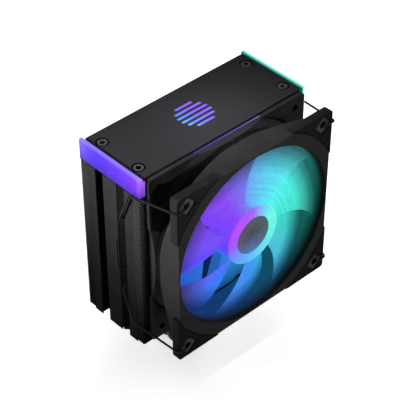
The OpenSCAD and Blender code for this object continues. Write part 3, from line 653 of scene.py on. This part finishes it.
finSet = {
    "halfWidth": 64.1, "halfDepth": 25.3, "sheet": 0.4, "corner": 0.5,
    "land": 5.75, "grooveOut": 12.25, "grooveDepth": 4.5,
    "sideTab": 7.0, "edgeTab": 9.0, "edgeTabAt": 38.0, "wallTabOut": 0.6, "wallTabIn": 0.3,
    "tabDrop": 1.57, "tabFold": 0.16, "foldBend": ((0.15, 0.5), (0.5, 0.13)),  # shares of the fold
    "tabEdge": 0.08, "tabRoot": 0.1, "edgeSlack": 0.1,
    "legs": ((31, 12), (31, 4)), "hole": 3.05, "holeSteps": 20,
    "collarWall": 0.3, "collarTop": 0.1, "collarDrop": 1.1,
    "count": 56, "pitch": 2.0, "bottom": 34.2,
}


def prism(bm, low, high):
    # closed solid between two rings of points with the same count
    a = [bm.verts.new(Vector(p) * mm) for p in low]
    b = [bm.verts.new(Vector(p) * mm) for p in high]
    n = len(a)
    for i in range(n):
        j = (i + 1) % n
        bm.faces.new((a[i], a[j], b[j], b[i]))
    bm.faces.new(a[::-1])
    bm.faces.new(b)


def finTab(bm, s, along1, along2, toFrame):
    # folded tab with a rounded fold; profile is (distance inside the face, height)
    t, drop, fold = s["sheet"], s["tabDrop"], s["tabFold"]
    edge, root = s["tabEdge"], s["tabRoot"]
    bend = [(u * fold, t - v * fold) for u, v in s["foldBend"]]
    profile = [(t, -drop), (edge, -drop), (0, edge - drop), (0, t - fold)] + bend
    profile += [(fold, t), (fold + root, t), (fold + root, 0), (t, -root)]
    prism(bm, [toFrame(along1, d, h) for d, h in profile], [toFrame(along2, d, h) for d, h in profile])


def finMesh(s):
    w, d, fold, corner = s["halfWidth"], s["halfDepth"], s["tabFold"], s["corner"]
    land, groove, grooveIn = s["land"], s["grooveOut"], s["grooveDepth"]
    tabEnd = groove + s["sideTab"]
    x1, x2 = s["edgeTabAt"] - s["edgeTab"] / 2, s["edgeTabAt"] + s["edgeTab"] / 2
    inner = w - grooveIn
    behind = fold * math.sqrt(2)  # keeps the sheet behind the tab on the sloping wall
    front = [(x1, -d), (x1, fold - d), (x2, fold - d), (x2, -d), (w - corner, -d), (w, corner - d),
             (w, -tabEnd), (w - fold, -tabEnd), (w - fold, -groove), (inner, -groove),
             (inner, behind - land - grooveIn), (w - fold, behind - land - fold)]
    right = front + [(x, -y) for x, y in reversed(front)]
    outline = right + [(-x, y) for x, y in reversed(right)]
    places = [(sx * x, sy * y) for x, y in s["legs"] for sx in (-1, 1) for sy in (-1, 1)]
    circle = [(math.cos(t), math.sin(t)) for t in turns(s["holeSteps"])]
    loops = [outline] + [[(x + s["hole"] * u, y + s["hole"] * v) for u, v in circle] for x, y in places]
    bm = bmesh.new()
    edgeHighlight = bm.faces.layers.float.new("edgeHighlight")
    levels = []
    for z in (0, s["sheet"]):
        rings = [[bm.verts.new(Vector((x, y, z)) * mm) for x, y in loop] for loop in loops]
        edges = [bm.edges.new((ring[i - 1], ring[i])) for ring in rings for i in range(len(ring))]
        bmesh.ops.triangle_fill(bm, use_beauty=True, edges=edges)
        levels.append(rings)
    for low, high in zip(*levels):
        for i in range(len(low)):
            j = (i + 1) % len(low)
            side = bm.faces.new((low[i], low[j], high[j], high[i]))
            inmost = min(abs(v.co.x) for v in (low[i], low[j]))
            # the faces on the fin's two ends carry the painted highlight
            side[edgeHighlight] = inmost > (inner - s["edgeSlack"]) * mm  # those on the fin's two ends
    for x, y in places:
        inside, outside = s["hole"], s["hole"] + s["collarWall"]
        top, lip = s["collarTop"], -s["collarDrop"]
        rings = []
        for r, z in ((inside, top), (outside, top), (outside, lip), (inside, lip)):
            rings.append([bm.verts.new(Vector((x + r * u, y + r * v, z)) * mm) for u, v in circle])
        for k, a in enumerate(rings):
            b = rings[(k + 1) % len(rings)]
            for i in range(len(circle)):
                j = (i + 1) % len(circle)
                bm.faces.new((a[i], a[j], b[j], b[i]))
    for sx in (-1, 1):
        for y1, y2 in ((-tabEnd, -groove), (-land, land), (groove, tabEnd)):
            finTab(bm, s, y1, y2, lambda a, q, h, sx=sx: (sx * (w - q), a, h))
        for sy in (-1, 1):  # on the sloping wall of each groove
            finTab(bm, s, s["wallTabOut"], grooveIn - s["wallTabIn"], lambda a, q, h, sx=sx, sy=sy: (
                sx * (w - a - q * math.sqrt(0.5)), sy * (land + a - q * math.sqrt(0.5)), h))
        for sy in (-1, 1):
            finTab(bm, s, x1, x2, lambda a, q, h, sx=sx, sy=sy: (sx * a, sy * (d - q), h))
    bmesh.ops.translate(bm, verts=bm.verts, vec=(0, 0, s["bottom"] * mm))
    bmesh.ops.recalc_face_normals(bm, faces=bm.faces)
    return fromBmesh("fin", bm)


def stackTree():
    tree, given = shapeTree("stackOfFins", (("Fin count", "Int"), ("Fin pitch", "Float")))
    step = put(tree, "ShaderNodeCombineXYZ", {"Z": given["Fin pitch"]})
    line = put(tree, "GeometryNodeMeshLine", {"Count": given["Fin count"], "Offset": step.outputs[0]},
               mode="OFFSET")
    return endTree(tree, copiesAt(tree, line, given), given)


fins = grow("finStack", finMesh(finSet), stackTree(),
            {"Fin count": finSet["count"], "Fin pitch": finSet["pitch"] * mm, "Finish": finishes["fin"]})
dress(fins, finishes["fin"], "cooler", "fin_black", "fins")
print("fin stack:", len(fins.data.polygons), "faces")

# impeller, hub and cap

impellerSet = {
    "hub": 19.5, "wall": 1.5, "front": 1.6, "bevel": 1.0, "bevelSteps": 6, "back": 19.6, "backEdge": 0.2,
    "capRadius": 12.5, "capThick": 0.8, "capGap": 0.05, "seatEdge": 0.2,
    "bossRadius": 4.5, "bossBack": 5.75, "bore": 1.55, "turnSteps": 96,
    "tip": 56.2, "blades": 7, "span": 50.0, "lean": 20.0, "leanPower": 1.4, "depth": 11.0, "thick": 2.0,
    "tipNarrow": 0.22, "tipThin": 0.45, "edgeShare": 0.3, "crownPower": 0.8, "bow": 0.45,
    "stepsAcross": 18, "stepsAlong": 16, "smoothTo": 50,
}


def bladePoint(s, across, out, face):
    root = s["hub"] - s["wall"] / 2
    r = root + out * (s["tip"] - root)
    angle = math.radians(s["lean"] * out ** s["leanPower"] + s["span"] * across)
    depth = s["depth"] * (1 - s["tipNarrow"] * out)
    arch = across + s["bow"] * across * (1 - across)
    crown = s["edgeShare"] + (1 - s["edgeShare"]) * math.sin(math.pi * across ** s["crownPower"])
    thick = s["thick"] * (1 - s["tipThin"] * out) * crown
    z = s["front"] + 2 * s["bevel"] + (s["depth"] - depth) / 2 + depth * (1 - arch) + face * thick / 2
    return (r * math.cos(angle), z, -r * math.sin(angle))


def bladeMesh(s):
    m, n = s["stepsAcross"], s["stepsAlong"]
    count = (m + 1) * (n + 1)
    grid = [(i / m, k / n) for i in range(m + 1) for k in range(n + 1)]
    points = [bladePoint(s, across, out, face) for face in (-1, 1) for across, out in grid]

    def at(face, i, k):
        return face * count + i * (n + 1) + k

    faces = []
    for i in range(m):
        for k in range(n):
            faces.append((at(0, i, k), at(0, i, k + 1), at(0, i + 1, k + 1), at(0, i + 1, k)))
            faces.append((at(1, i, k), at(1, i + 1, k), at(1, i + 1, k + 1), at(1, i, k + 1)))
        faces.append((at(0, i, 0), at(0, i + 1, 0), at(1, i + 1, 0), at(1, i, 0)))
        faces.append((at(0, i, n), at(1, i, n), at(1, i + 1, n), at(0, i + 1, n)))
    for k in range(n):
        faces.append((at(0, 0, k), at(1, 0, k), at(1, 0, k + 1), at(0, 0, k + 1)))
        faces.append((at(0, m, k), at(0, m, k + 1), at(1, m, k + 1), at(1, m, k)))
    return faceOut(meshFrom("blade", points, faces))


def bladeTree():
    tree, given = shapeTree("ringOfBlades", (("Blade count", "Int"), ("Hub place", "Vector")))
    line = put(tree, "GeometryNodeMeshLine", {"Count": given["Blade count"], "Offset": (0, 0, 0)},
               mode="OFFSET")
    share = math2(tree, "DIVIDE", put(tree, "GeometryNodeInputIndex").outputs[0], given["Blade count"])
    turn = put(tree, "ShaderNodeCombineXYZ", {"Y": math2(tree, "MULTIPLY", share, 2 * math.pi)})
    copies = copiesAt(tree, line, given, Rotation=turn.outputs[0])
    move = put(tree, "GeometryNodeTransform", {"Geometry": copies, "Translation": given["Hub place"]})
    return endTree(tree, move.outputs[0], given)


def hubProfile(s):
    hub, front, bevel, back, edge = s["hub"], s["front"], s["bevel"], s["back"], s["backEdge"]
    wallBack = front + s["capThick"] + s["wall"]
    floor, seat = front + s["capThick"] + s["capGap"], s["capRadius"] + s["capGap"]
    rim = [(hub - bevel + bevel * math.sin(a), front + bevel - bevel * math.cos(a))
           for a in (math.pi / 2 * k / s["bevelSteps"] for k in range(s["bevelSteps"] + 1))]
    face = [(s["bore"], floor), (seat, floor), (seat, front + s["seatEdge"]),
            (seat + s["seatEdge"], front)] + rim
    return face + [(hub, back - edge), (hub - edge, back), (hub - s["wall"], back),
                   (hub - s["wall"], wallBack), (s["bossRadius"], wallBack),
                   (s["bossRadius"], s["bossBack"]), (s["bore"], s["bossBack"])]


blades = grow("impellerBlades", bladeMesh(impellerSet), bladeTree(),
              {"Blade count": impellerSet["blades"], "Hub place": fanCentre * mm,
               "Finish": finishes["blade"]})
smooth(blades.data, impellerSet["smoothTo"])
dress(blades, finishes["blade"], "rotor", "impeller_milk", "impeller")
hub = linkNew("impellerHub", lathe("impellerHub", hubProfile(impellerSet), impellerSet["turnSteps"],
                                   fanPoint))
dress(hub, finishes["hub"], "rotor", "impeller_milk", "impeller")

capSet = {"steps": 96, "profile": ((0, 1.9), (6, 1.84), (10.5, 1.68), (11.6, 1.62), (12.1, 1.66),
                                   (12.4, 1.8), (12.5, 2.0), (12.5, 2.4), (0, 2.4))}
cap = linkNew("hubCap", lathe("hubCap", capSet["profile"], capSet["steps"], fanPoint))
dress(cap, finishes["cap"], "rotor", "cap_grey", "hub_cap")
print("impeller:", len(blades.data.polygons) + len(hub.data.polygons), "faces")

# fan frame, pads and the plates round the fan's holes

frameSet = {"sharp": 25, "padEdge": {"front": 0.45, "rear": 0.12}, "hole": 52.5, "plate": 8.5,
            "plateHole": 2.3, "plateDepth": 0.9, "plateThick": 0.35, "plateBevel": 0.12,
            "plateSteps": 32}

fanFrame = mergedCopy("fan_frame", "fanFrame")
sharpFlats(fanFrame.data, frameSet["sharp"])
dress(fanFrame, finishes["framePlastic"], "cooler", "frame_black", "fan_frame")
for side in ("front", "rear"):
    for high in ("top", "bottom"):
        for across in ("left", "right"):
            node = side + "_pad_" + high + "_" + across
            pad = mergedCopy(node, "pad." + side + "." + high + "." + across, frameSet["padEdge"][side])
            dress(pad, finishes["padRubber"], "cooler", "pad_rubber", node)


def platesTree():
    tree, given = shapeTree("platesAtHoles", (("Hole spacing", "Float"), ("Place", "Vector")))
    corners = cornerPoints(tree, given["Hole spacing"], given["Hole spacing"])
    move = put(tree, "GeometryNodeTransform",
               {"Geometry": copiesAt(tree, corners, given), "Translation": given["Place"],
                "Rotation": (math.pi / 2, 0, 0)})
    return endTree(tree, move.outputs[0], given)


def holePlate(s):
    # a square plate on its corner with a round hole, bevelled on its face
    half, lift, bevel, hole = s["plate"] / 2, s["plateThick"], s["plateBevel"], s["plateHole"]
    rings = [[], [], [], [], []]
    for t in turns(s["plateSteps"], 0.5):
        reach = half / max(abs(math.cos(t)), abs(math.sin(t)))
        for ring, (r, z) in zip(rings, ((reach, 0), (reach, lift - bevel), (reach - bevel, lift),
                                        (hole, lift), (hole, 0))):
            u, v = r * math.cos(t), r * math.sin(t)
            ring.append(((u - v) * math.sqrt(0.5), (u + v) * math.sqrt(0.5), z))
    points = [p for ring in rings for p in ring]
    faces = bands([(k, (k + 1) % len(rings)) for k in range(len(rings))], s["plateSteps"])
    return faceOut(meshFrom("holePlate", points, faces))


plates = grow("holePlates", holePlate(frameSet), platesTree(),
              {"Hole spacing": 2 * frameSet["hole"] * mm, "Finish": finishes["holePlate"],
               "Place": (fanCentre + Vector((0, frameSet["plateDepth"], 0))) * mm})
dress(plates, finishes["holePlate"], "cooler", "cap_grey")
print("fan frame and pads dressed")

# fan clips


def wireTree():
    tree, given = shapeTree("wireOnPath", (("Wire radius", "Float"), ("Wire sides", "Int")))
    path = put(tree, "GeometryNodeMeshToCurve", {"Mesh": given["Shape"]})
    ring = put(tree, "GeometryNodeCurvePrimitiveCircle",
               {"Resolution": given["Wire sides"], "Radius": given["Wire radius"]})
    wire = put(tree, "GeometryNodeCurveToMesh",
               {"Curve": path.outputs[0], "Profile Curve": ring.outputs[0], "Fill Caps": True})
    return endTree(tree, wire.outputs[0], given)


def pathMesh(name, points):
    mesh = bpy.data.meshes.new(name)
    mesh.from_pydata([Vector(p) * mm for p in points], [(i, i + 1) for i in range(len(points) - 1)], [])
    return mesh


def roundedPath(points, r, steps):
    points = [Vector(p) for p in points]
    path = [points[0]]
    for i in range(1, len(points) - 1):
        back = (points[i - 1] - points[i]).normalized()
        ahead = (points[i + 1] - points[i]).normalized()
        half = back.angle(ahead) / 2
        centre = points[i] + (back + ahead).normalized() * r / math.sin(half)
        arm = (points[i] + back * r / math.tan(half) - centre).normalized()
        sweep = math.pi - 2 * half
        path += [centre + r * (arm * math.cos(sweep * k / steps) - back * math.sin(sweep * k / steps))
                 for k in range(steps + 1)]
    return path + [points[-1]]


clipSet = {
    "radius": 0.65, "sides": 16, "bend": 1.8, "steps": 8, "smoothTo": 60,
    "points": ((52.5, -48.1, 52.5), (52.5, -52.0, 52.5), (60.9, -52.0, 52.1), (65.85, -18.75, 48.1),
               (65.85, -10.35, 27.4), (61.5, -10.35, 23.8), (61.5, -10.35, 11.0), (68.1, -9.05, 11.0)),
}
wires = wireTree()


def clipPath(s, side):
    upper = [(side * x, y, z) for x, y, z in s["points"]]
    lower = [(x, y, -z) for x, y, z in reversed(upper)]
    return [p + Vector((0, 0, fanCentre.z)) for p in roundedPath(upper + lower, s["bend"], s["steps"])]


for side, sign in (("left", -1), ("right", 1)):
    clip = grow("fanClip." + side, pathMesh("clipPath", clipPath(clipSet, sign)), wires,
                {"Wire radius": clipSet["radius"] * mm, "Wire sides": clipSet["sides"],
                 "Finish": finishes["clipCoat"]})
    smooth(clip.data, clipSet["smoothTo"])
    dress(clip, finishes["clipCoat"], side + "_clip", "clip_black", side + "_fan_clip")
print("clips bent")

# top cover

coverLooks = {
    "cover_plate": ("coverPlate", "cover", "cover_charcoal", 0.25),
    "light_sheet": ("lightSheet", "sheet", "light_sheet", 0.15),
    "cover_tray": ("coverTray", "trayPlastic", "tray_black", 0.2),
    "window_lenses": ("windowLenses", "window", "window_light", 0.0),
}
for node, (name, look, slot, width) in coverLooks.items():
    dress(mergedCopy(node, name, width), finishes[look], "cooler", slot, node)

barSet = {"inner": 59.1, "step": 61.25, "outer": 64.25, "low": 145.5, "ledge": 154.95, "high": 158.4,
          "top": 0.8, "halfDepth": 25.3, "round": 0.8, "roundSteps": 6, "edge": 0.3, "edgeSteps": 3}


def barMesh(s, sign):
    # the bar's section drawn along its length, with rounded upright corners on the outer side
    section = [(s["inner"], s["low"]), (s["outer"], s["low"]), (s["outer"], s["high"] - s["top"]),
               (s["outer"] - s["top"], s["high"]), (s["step"] + s["top"], s["high"]),
               (s["step"], s["high"] - s["top"]), (s["step"], s["ledge"]), (s["inner"], s["ledge"])]
    straight = s["halfDepth"] - s["round"]
    end = [(straight + s["round"] * math.sin(a), s["round"] * (1 - math.cos(a)))
           for a in (math.pi / 2 * k / s["roundSteps"] for k in range(s["roundSteps"] + 1))]
    stations = [(-y, cut) for y, cut in reversed(end)]
    stations += [(-straight / 2, 0.0), (0.0, 0.0), (straight / 2, 0.0)] + end
    rows = [[(sign * min(x, s["outer"] - cut), y, z) for x, z in section] for y, cut in stations]
    return ringMesh("bar", rows, meshSet["barWeld"])


for side, sign in (("left", -1), ("right", 1)):
    bar = linkNew("lightBar." + side, barMesh(barSet, sign))
    roundEdges(bar, barSet["edge"], barSet["edgeSteps"])
    dress(bar, finishes[side + "Bar"], "cooler", side + "_light", side + "_light_bar")

screwSet = {"across": 110.8, "along": 30.4, "top": 156.95, "headRadius": 3.1, "headHeight": 1.7,
            "headFlat": 2.9, "headEdge": 0.12, "headSide": (3.08, 0.3),
            "socket": 1.6, "socketDepth": 1.13, "socketEdge": 0.12, "socketFlare": 0.16,
            "drillFlat": 0.8, "drillTip": 0.02, "drillDepth": 0.25,  # the drill's cone under the socket
            "shank": 1.95, "threadStart": 0.3, "threadPitch": 0.5, "threadDepth": 0.3, "plainFoot": 1.2,
            "foot": 147.8, "footRings": ((1.85, 0.4), (1.45, 0)), "steps": 48, "smoothTo": 28}


def socketScrew(s):
    # countersunk screw with a six-sided socket; the rings run from the socket's floor to the foot
    def ring(r, z, six=False):
        out = []
        for t in turns(s["steps"]):
            q = r
            if six:
                q = r * math.cos(math.pi / 6) / math.cos((t % (math.pi / 3)) - math.pi / 6)
            out.append((q * math.cos(t), q * math.sin(t), z))
        return out
    top, socket, shank, foot = s["top"], s["socket"], s["shank"], s["foot"]
    bottom, neck = top - s["socketDepth"], top - s["headHeight"]
    sideRadius, sideDrop = s["headSide"]
    rings = [ring(socket * s["drillTip"], bottom - s["drillDepth"]),
             ring(socket * s["drillFlat"], bottom), ring(socket, bottom, True),
             ring(socket, top - s["socketEdge"], True), ring(socket + s["socketFlare"], top, True),
             ring(s["headFlat"], top), ring(s["headRadius"], top - s["headEdge"]),
             ring(sideRadius, top - sideDrop), ring(shank, neck)]
    z = neck - s["threadStart"]
    while z > foot + s["plainFoot"]:
        rings += [ring(shank, z), ring(shank - s["threadDepth"], z - s["threadPitch"] / 2)]
        z -= s["threadPitch"]
    rings += [ring(r, foot + rise) for r, rise in s["footRings"]]
    mesh = ringMesh("socketScrew", rings)
    smooth(mesh, s["smoothTo"])
    return mesh


def screwsTree():
    tree, given = shapeTree("screwsAtCorners", (("Spacing across", "Float"), ("Spacing along", "Float")))
    corners = cornerPoints(tree, given["Spacing across"], given["Spacing along"])
    return endTree(tree, copiesAt(tree, corners, given), given)


coverScrews = grow("coverScrews", socketScrew(screwSet), screwsTree(),
                   {"Spacing across": screwSet["across"] * mm, "Spacing along": screwSet["along"] * mm,
                    "Finish": finishes["screwDark"]})
dress(coverScrews, finishes["screwDark"], "cooler", "dark_screw", "cover_screws")
print("top cover dressed")

# contact block and pipes

blockSet = {"edge": 0.3, "pipes": (1, 2, 3, 4)}

block = mergedCopy("contact_block", "contactBlock", blockSet["edge"])
dress(block, finishes["blockMetal"], "cooler", "milled_block", "contact_block")
for k in blockSet["pipes"]:
    node = "heat_pipe_%d" % k
    dress(mergedCopy(node, "heatPipe.%d" % k), finishes["pipeBlack"], "cooler", "pipe_black", node)
print("block and pipes dressed")

# inner pieces keep their own shape and get their finish

innerLooks = {
    "light_board": "boardGreen", "cover_leds": "led", "fan_board": "boardGreen", "fan_leds": "led",
    "rotor_yoke": "motorSteel", "rotor_magnet": "magnetFerrite", "rotor_shaft": "motorSteel",
    "shaft_retainer": "screwDark", "bearing_sleeve": "bearingBronze", "bearing_cap": "trayPlastic",
    "stator_core": "motorSteel", "stator_windings": "windingCopper", "motor_seal": "sealFoil",
}
for node, look in innerLooks.items():
    for entry in cadNodes[node].material_slots:
        entry.material = finishes[look]
print("inner pieces finished:", len(innerLooks))

# floor, light and background

# near and far: where the floor's glow rises again round the object, a painted shadow round its foot
floorSet = {"size": 4.0, "tone": 0.7, "lift": 0.7, "near": 0.05, "far": 0.15}
lampSet = (
    {"name": "keyLight", "place": (-0.46, 0.22, 0.32), "aim": (-0.04, -0.028, 0.14), "size": 0.07,
     "spread": 19, "power": 0.22, "gloss": False},
    {"name": "coverLight", "place": (0.03, -0.12, 0.8), "aim": (0.005, -0.014, 0.157), "size": 0.05,
     "spread": 8.5, "power": 0.022, "gloss": True},
    {"name": "topLight", "place": (0.0, 0.0, 0.9), "aim": (0, 0, 0.1), "size": 0.9, "spread": 120,
     "power": 0.45, "gloss": True},
    {"name": "frontLight", "place": (-0.12, -0.85, 0.5), "aim": (-0.025, -0.05, 0.135), "size": 0.1,
     "spread": 12, "power": 0.04, "gloss": True},
    {"name": "sideLight", "place": (0.75, 0.08, 0.16), "aim": (0.03, 0, 0.1), "size": 0.5, "spread": 60,
     "power": 1.2, "gloss": False},
    {"name": "backLight", "place": (0.1, 0.8, 0.16), "aim": (0, 0.02, 0.1), "size": 0.5, "spread": 60,
     "power": 1.2, "gloss": False},
)
worldSet = {"light": 0.02, "seen": 1.0}


def seenDirectly(tree):
    rays = put(tree, "ShaderNodeLightPath").outputs
    first = math2(tree, "MAXIMUM", rays["Is Camera Ray"], rays["Is Glossy Ray"])
    return math2(tree, "MAXIMUM", first, rays["Is Transmission Ray"])


def makeFloor(s):
    half = s["size"] / 2
    mesh = bpy.data.meshes.new("floor")
    corners = [(-half, -half, 0), (half, -half, 0), (half, half, 0), (-half, half, 0)]
    mesh.from_pydata(corners, [], [(0, 1, 2, 3)])
    floor = linkNew("floor", mesh)
    mat, tree = blankMaterial("paleFloor")
    soft = put(tree, "ShaderNodeBsdfDiffuse", {"Color": grey(s["tone"])})
    place = put(tree, "ShaderNodeTexCoord").outputs["Object"]
    away = put(tree, "ShaderNodeVectorMath", {0: place}, operation="LENGTH").outputs["Value"]
    # painted shadow: the glow is weaker near the object, so a shadow round its foot is painted on the floor
    glow = spread(tree, away, s["lift"], 1.0, s["near"], s["far"])
    lift = put(tree, "ShaderNodeEmission", {"Color": grey(1), "Strength": glow})
    white = put(tree, "ShaderNodeAddShader", {0: soft.outputs[0], 1: lift.outputs[0]})
    mix = put(tree, "ShaderNodeMixShader",
              {0: seenDirectly(tree), 1: soft.outputs[0], 2: white.outputs[0]})
    put(tree, "ShaderNodeOutputMaterial", {"Surface": mix.outputs[0]})
    mesh.materials.append(mat)


def makeLamps(lamps):
    for s in lamps:
        data = bpy.data.lights.new(s["name"], "AREA")
        data.shape = "DISK"
        data.size = s["size"]
        data.spread = math.radians(s["spread"])
        data.energy = s["power"]
        lamp = bpy.data.objects.new(s["name"], data)
        lamp.location = s["place"]
        aim = Vector(s["aim"]) - Vector(s["place"])
        lamp.rotation_euler = aim.to_track_quat("-Z", "Y").to_euler()
        lamp.visible_glossy = s["gloss"]
        scene.collection.objects.link(lamp)


def makeWorld(s):
    world = bpy.data.worlds.new("studio")
    scene.world = world
    world.use_nodes = True
    tree = world.node_tree
    tree.nodes.clear()
    fill = put(tree, "ShaderNodeBackground", {"Color": grey(1), "Strength": s["light"]})
    seen = put(tree, "ShaderNodeBackground", {"Color": grey(1), "Strength": s["seen"]})
    mix = put(tree, "ShaderNodeMixShader",
              {0: seenDirectly(tree), 1: fill.outputs[0], 2: seen.outputs[0]})
    put(tree, "ShaderNodeOutputWorld", {"Surface": mix.outputs[0]})


makeFloor(floorSet)
makeLamps(lampSet)
makeWorld(worldSet)
scene.view_settings.view_transform = "Standard"
print("floor and lights set")
